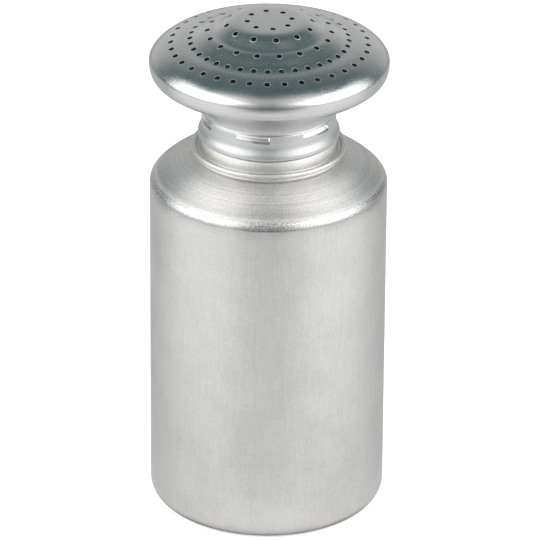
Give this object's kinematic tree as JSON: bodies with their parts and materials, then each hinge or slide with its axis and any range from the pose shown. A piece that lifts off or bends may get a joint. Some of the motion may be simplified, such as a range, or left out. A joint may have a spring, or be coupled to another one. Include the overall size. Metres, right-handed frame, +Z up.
{
  "type": "powder shaker",
  "caption": "Tall aluminium shaker with a necked round canister and a wide perforated mushroom head that turns on the neck and lifts off.",
  "frame": {"origin": "centre of the flat base, on the surface that the shaker stands on", "axes": "+Z up along the shaker's turning axis; -Y is the side that the picture shows"},
  "size_m": [0.0804, 0.0804, 0.1758],
  "materials": {
    "canister": "matt, finely spun aluminium",
    "collar": "satin spun aluminium",
    "rose": "satin polished aluminium",
    "washer": "off-white silicone"
  },
  "bodies": {
    "canister": {"canister": "canister"},
    "washer": {"sealing_washer": "washer"},
    "head": {"collar": "collar", "rose": "rose"}
  },
  "joints": [
    {"name": "head_lift", "type": "slide", "parent": "canister", "child": "washer", "axis": [0, 0, 1], "range_m": [0, 0.08]},
    {"name": "head_turn", "type": "hinge", "parent": "washer", "child": "head", "pos_m": [0, 0, 0.155], "axis": [0, 0, 1], "range_deg": [0, 30]}
  ]
}
